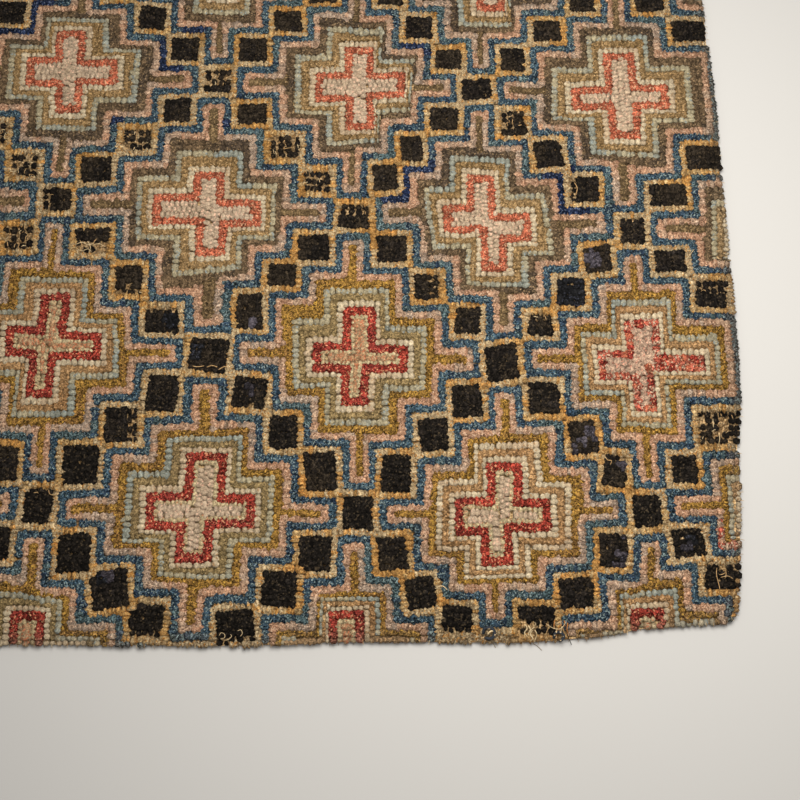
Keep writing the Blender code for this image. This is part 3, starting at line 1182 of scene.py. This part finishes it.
def feed(tree, socket, value):
    if isinstance(value, Wire):
        tree.links.new(value.socket, socket)
    else:
        socket.default_value = value


def setStops(ramp, stops):
    while len(ramp.elements) < len(stops):
        ramp.elements.new(0.5)
    for element, (place, colour) in zip(ramp.elements, stops):
        element.position = place
        element.color = (*colour, 1)


def newMaterial(name):
    material = bpy.data.materials.new(name)
    material.use_nodes = True
    shader = material.node_tree.nodes["Principled BSDF"]
    start = material.node_tree.nodes.new("ShaderNodeTexCoord")
    return material, shader, Wire(start.outputs["Object"])


def clampedRange(wire, low, high, toLow, toHigh):
    settings = {"clamp": True}
    inputs = {"Value": wire, "From Min": low, "From Max": high, "To Min": toLow, "To Max": toHigh}
    return wire.node("ShaderNodeMapRange", settings, inputs)


def mixed(wire, factor, first, second, blend="MIX"):
    settings = {"data_type": "RGBA", "blend_type": blend, "clamp_factor": True}
    return wire.node("ShaderNodeMix", settings, {0: factor, 6: first, 7: second}, 2)


def fineNoise(place, scale, detail, roughness=0.5, distortion=0.0):
    inputs = {
        "Vector": place, "Scale": scale, "Detail": detail, "Roughness": roughness,
        "Distortion": distortion,
    }
    return place.node("ShaderNodeTexNoise", {}, inputs, "Fac")


def finishMaterial(shader, tone, height, strength, depth, shine):
    # what the rug's materials end in: a colour, a relief and a matt face
    tree = tone.tree
    feed(tree, shader.inputs["Base Color"], tone)
    inputs = {"Strength": strength, "Distance": depth * mm, "Height": height}
    feed(tree, shader.inputs["Normal"], height.node("ShaderNodeBump", {}, inputs, "Normal"))
    shader.inputs["Roughness"].default_value = 0.95
    shader.inputs["Specular IOR Level"].default_value = shine


# How each yarn is spun. Curl is the depth of the painted shade in the creases between its strands,
# fleck how much the strands differ, and the accent is another colour that some strands have. Fine
# is the size of its curls, from 0 for smooth to 1 for the finest, and relief how far they stand
# out. Crease is what the painted shade in the deepest creases leaves of the yarn's red, green and
# blue where that isn't alike.
woolLook = dict(
    ivory=dict(curl=0.43, fleck=0.24, accent=(150, 118, 84), share=0.05, fine=0.2, relief=0.6),
    bone=dict(curl=0.48, fleck=0.31, accent=(186, 130, 96), share=0.10, fine=0.5, relief=0.8),
    silver=dict(curl=0.43, fleck=0.27, accent=(128, 136, 134), share=0.08, fine=0.2, relief=0.6),
    tan=dict(curl=0.70, fleck=0.44, accent=(200, 160, 116), share=0.10, fine=0.6, relief=1.0),
    olive=dict(curl=0.68, fleck=0.44, accent=(178, 152, 106), share=0.12, fine=0.6, relief=1.0),
    gold=dict(curl=0.94, fleck=0.70, accent=(196, 154, 70), share=0.16, fine=0.6, relief=1.0),
    brown=dict(curl=0.72, fleck=0.50, accent=(156, 130, 98), share=0.10, fine=0.6, relief=1.0),
    umber=dict(curl=0.74, fleck=0.50, accent=(164, 138, 100), share=0.10, fine=0.6, relief=1.0),
    pink=dict(
        curl=0.70, fleck=0.43, accent=(214, 182, 154), share=0.16, fine=0.8, relief=1.0,
        creaseShade=(0.38, 0.27, 0.22),
    ),
    blue=dict(curl=0.89, fleck=0.86, accent=(142, 158, 156), share=0.18, fine=1.0, relief=1.0),
    navy=dict(curl=0.84, fleck=0.90, accent=(120, 132, 158), share=0.10, fine=1.0, relief=1.0),
    yellow=dict(
        curl=0.80, fleck=0.38, accent=(202, 146, 76), share=0.12, fine=0.6, relief=1.0,
        creaseShade=(0.42, 0.25, 0.13),
    ),
    amber=dict(
        curl=0.80, fleck=0.38, accent=(214, 150, 78), share=0.16, fine=0.6, relief=1.0,
        creaseShade=(0.42, 0.24, 0.12),
    ),
    black=dict(curl=0.80, fleck=0.72, accent=(82, 70, 54), share=0.10, fine=0.6, relief=1.0),
    ink=dict(curl=0.80, fleck=0.60, accent=(66, 68, 80), share=0.08, fine=0.6, relief=1.0),
    plum=dict(curl=0.70, fleck=0.60, accent=(84, 80, 90), share=0.10, fine=0.3, relief=1.0),
    blush=dict(curl=0.62, fleck=0.36, accent=(206, 148, 124), share=0.12, fine=0.4, relief=0.8),
    jute=dict(curl=0.60, fleck=0.45, accent=(214, 186, 146), share=0.12, fine=0.8, relief=1.0),
    red=dict(curl=0.91, fleck=0.79, accent=(222, 160, 120), share=0.11, fine=0.7, relief=1.0),
    coral=dict(curl=0.80, fleck=0.52, accent=(214, 164, 128), share=0.15, fine=0.5, relief=1.0),
    salmon=dict(curl=0.84, fleck=0.60, accent=(208, 182, 154), share=0.28, fine=0.3, relief=1.0),
    dun=dict(curl=0.67, fleck=0.42, accent=(196, 164, 120), share=0.10, fine=0.6, relief=1.0),
    rose=dict(curl=0.60, fleck=0.38, accent=(192, 118, 84), share=0.26, fine=0.8, relief=0.8),
    beige=dict(curl=0.40, fleck=0.26, accent=(204, 166, 142), share=0.12, fine=0.3, relief=0.6),
)
strandLook = dict(curl=0.2, fleck=0.25, accent=(190, 166, 130), share=0.05, fine=0.5, relief=0.4)
woolScale = dict(curl=400.0, curlFine=240.0, strand=660.0, strandFine=420.0, fibre=2200.0)
paintedShadeDepth = dict(low=2.0, high=6.6, shade=0.34)           # painted shade: the pile's colour darkens towards its foot, where the loops shade each other


def woolMaterial(name, look):
    material, shader, place = newMaterial(name + "Wool")
    yarn = place.node("ShaderNodeAttribute", {"attribute_name": "yarn"}, {}, "Color")
    curlScale = woolScale["curl"] + woolScale["curlFine"] * look["fine"]
    curls = fineNoise(place, curlScale, 2.0, 0.5, 1.6)
    ridge = clampedRange(place.maths("ABSOLUTE", curls - 0.5, 0.0), 0.006, 0.06, 0.0, 1.0)
    strandScale = woolScale["strand"] + woolScale["strandFine"] * look["fine"]
    cells = {"Vector": place, "Scale": strandScale}
    strands = place.node("ShaderNodeTexVoronoi", {}, cells, "Color")
    strand = strands.node("ShaderNodeSeparateColor", {}, {"Color": strands}, "Red")
    chance = Wire(strand.socket.node.outputs["Green"])
    light = clampedRange(strand, 0.0, 1.0, 1 - look["fleck"], 1 + look["fleck"])
    heathered = mixed(place, 1.0, yarn, light, "MULTIPLY")
    picked = clampedRange(chance, 1 - look["share"], 1.001 - look["share"], 0.0, 0.85)
    flecked = mixed(place, picked, heathered, (*linear(*look["accent"]), 1))
    # painted shade: the yarn's colour darkens along the creases between its strands
    creaseShade = (*look.get("creaseShade", (1 - look["curl"],) * 3), 1)
    creaseShaded = mixed(place, 1.0, flecked, mixed(place, ridge, creaseShade, (1, 1, 1, 1)), "MULTIPLY")
    up = place.node("ShaderNodeSeparateXYZ", {}, {0: place}, "Z")
    low, high = paintedShadeDepth["low"] * mm, paintedShadeDepth["high"] * mm
    # painted shade: the colour darkens towards the pile's foot, where the loops shade each other
    paintedShade = clampedRange(up, low, high, paintedShadeDepth["shade"], 1.0)
    tone = mixed(place, 1.0, creaseShaded, paintedShade, "MULTIPLY")
    fibres = fineNoise(place, woolScale["fibre"], 2.0, 0.6)
    height = ridge * 0.8 + fibres * 0.6 + strand * 0.5
    finishMaterial(shader, tone, height, look["relief"], 1.0, 0.06)
    return material


pieces = []
for index, (name, found) in enumerate(loops.items()):
    if not found:
        continue
    piece = buildLoops(name, found, 100 + index)
    piece.data.materials.append(woolMaterial(name, woolLook[name]))
    pieces.append(piece)
    triangles = sum(len(p.vertices) - 2 for p in piece.data.polygons)
    print(name, len(found), "loops", triangles, "triangles")

strands = buildStrands()
strands.data.materials.append(woolMaterial("loose", strandLook))
pieces.append(strands)
print("loose strands", len(strands.data.polygons), "faces")

burlap = dict(
    low=0.5, high=2.5, inset=1.4, thread=2.1, wander=0.0012,
    tones=[(0.0, (112, 86, 54)), (0.5, (174, 142, 100)), (1.0, (204, 174, 130))],
)


def modelGround():
    # one layer of burlap, out to just inside the rim
    deselectAll()
    bpy.ops.mesh.primitive_circle_add(vertices=len(rim), radius=1, fill_type="NGON")
    ground = bpy.context.object
    ground.name = ground.data.name = "burlapGround"
    for vert, (x, y) in zip(ground.data.vertices, rim):
        away = math.hypot(x, y)
        keep = 1 - burlap["inset"] / away
        vert.co = (x * keep * mm, y * keep * mm, burlap["low"] * mm)
    bpy.ops.object.mode_set(mode="EDIT")
    bpy.ops.mesh.select_all(action="SELECT")
    rise = (burlap["high"] - burlap["low"]) * mm
    bpy.ops.mesh.extrude_region_move(TRANSFORM_OT_translate={"value": (0, 0, rise)})
    bpy.ops.mesh.select_all(action="SELECT")
    bpy.ops.mesh.normals_make_consistent(inside=False)
    bpy.ops.object.mode_set(mode="OBJECT")
    return ground


def burlapMaterial():
    # threads over and under each other, both ways
    material, shader, place = newMaterial("burlapJute")
    pitch = math.pi / (burlap["thread"] * mm)
    parts = place.node("ShaderNodeSeparateXYZ", {}, {0: place}, "X")
    upright = Wire(parts.socket.node.outputs["Y"])
    wander = fineNoise(place, 140.0, 2.0) * burlap["wander"]
    x, y = parts + wander, upright + wander
    warp = place.maths("ABSOLUTE", place.maths("SINE", x * pitch, 0.0), 0.0)
    weft = place.maths("ABSOLUTE", place.maths("SINE", y * pitch, 0.0), 0.0)
    across = place.maths("SINE", x * pitch * 0.5, 0.0)
    along = place.maths("SINE", y * pitch * 0.5, 0.0)
    threads = warp * 0.5 + weft * 0.5 + across * along * 0.25
    fibre = fineNoise(place, 1500.0, 3.0)
    # painted shade: the ground is darker in the grooves between its threads and lighter on their tops,
    # with the fibres' own uneven tone mixed in
    shade = clampedRange(threads + fibre * 0.5, 0.45, 1.25, 0.0, 1.0)
    stops = [(share, linear(*colour)) for share, colour in burlap["tones"]]
    tone = place.node("ShaderNodeValToRGB", {"stops": stops}, {"Fac": shade}, "Color")
    finishMaterial(shader, tone, threads + fibre * 0.4, 0.9, 0.6, 0.15)
    return material


ground = modelGround()
ground.data.materials.append(burlapMaterial())
print("ground", len(ground.data.vertices), "points")

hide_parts("hooked_rug")
for piece in [ground, *pieces]:
    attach(piece, "root")

# Tilt is the photo's lean from straight down, and away how far the lens is from its aim.
studio = dict(
    lens=50.0, sensor=36.0, tilt=15.5, away=0.832, aimX=0.199, aimY=-0.124, aimZ=0.0075,
    floor=(0.36, 0.355, 0.345, 1), sky=(1.0, 0.97, 0.93, 1), skyPower=0.44,
)
lamps = dict(
    softKey=dict(
        place=(0.30, 0.02, 0.70), target=(0.45, 0.0, 0), size=0.5, power=11.3,
        colour=(1.0, 0.96, 0.90),
    ),
    softFill=dict(
        place=(-1.0, -0.9, 1.6), target=(0.1, 0, 0), size=1.6, power=5.5,
        colour=(1.0, 0.97, 0.93),
    ),
)


def modelFloor():
    deselectAll()
    bpy.ops.mesh.primitive_plane_add(size=6, location=(0, 0, 0))
    floor = bpy.context.object
    floor.name = "paleFloor"
    material, shader, _ = newMaterial("palePaint")
    shader.inputs["Base Color"].default_value = studio["floor"]
    shader.inputs["Roughness"].default_value = 0.8
    floor.data.materials.append(material)


def addLight(name, place, target, size, power, colour):
    lamp = bpy.data.lights.new(name, "AREA")
    lamp.shape = "SQUARE"
    lamp.size = size
    lamp.energy = power
    lamp.color = colour
    holder = bpy.data.objects.new(name, lamp)
    holder.location = place
    aim = Vector(target) - Vector(place)
    holder.rotation_euler = aim.to_track_quat("-Z", "Y").to_euler()
    bpy.context.scene.collection.objects.link(holder)


def addCamera():
    lens = bpy.data.cameras.new("camera")
    lens.lens = studio["lens"]
    lens.sensor_width = studio["sensor"]
    camera = bpy.data.objects.new("camera", lens)
    tilt = math.radians(studio["tilt"])
    camera.location = (
        studio["aimX"],
        studio["aimY"] - studio["away"] * math.sin(tilt),
        studio["aimZ"] + studio["away"] * math.cos(tilt),
    )
    camera.rotation_euler = (tilt, 0, 0)
    bpy.context.scene.collection.objects.link(camera)
    bpy.context.scene.camera = camera


def addSky():
    sky = bpy.data.worlds.new("studio")
    sky.use_nodes = True
    background = sky.node_tree.nodes["Background"]
    background.inputs["Color"].default_value = studio["sky"]
    background.inputs["Strength"].default_value = studio["skyPower"]
    bpy.context.scene.world = sky


modelFloor()
for name, lamp in lamps.items():
    addLight(name, **lamp)
addSky()
bpy.context.scene.view_settings.view_transform = "Standard"
addCamera()
print("studio ready")
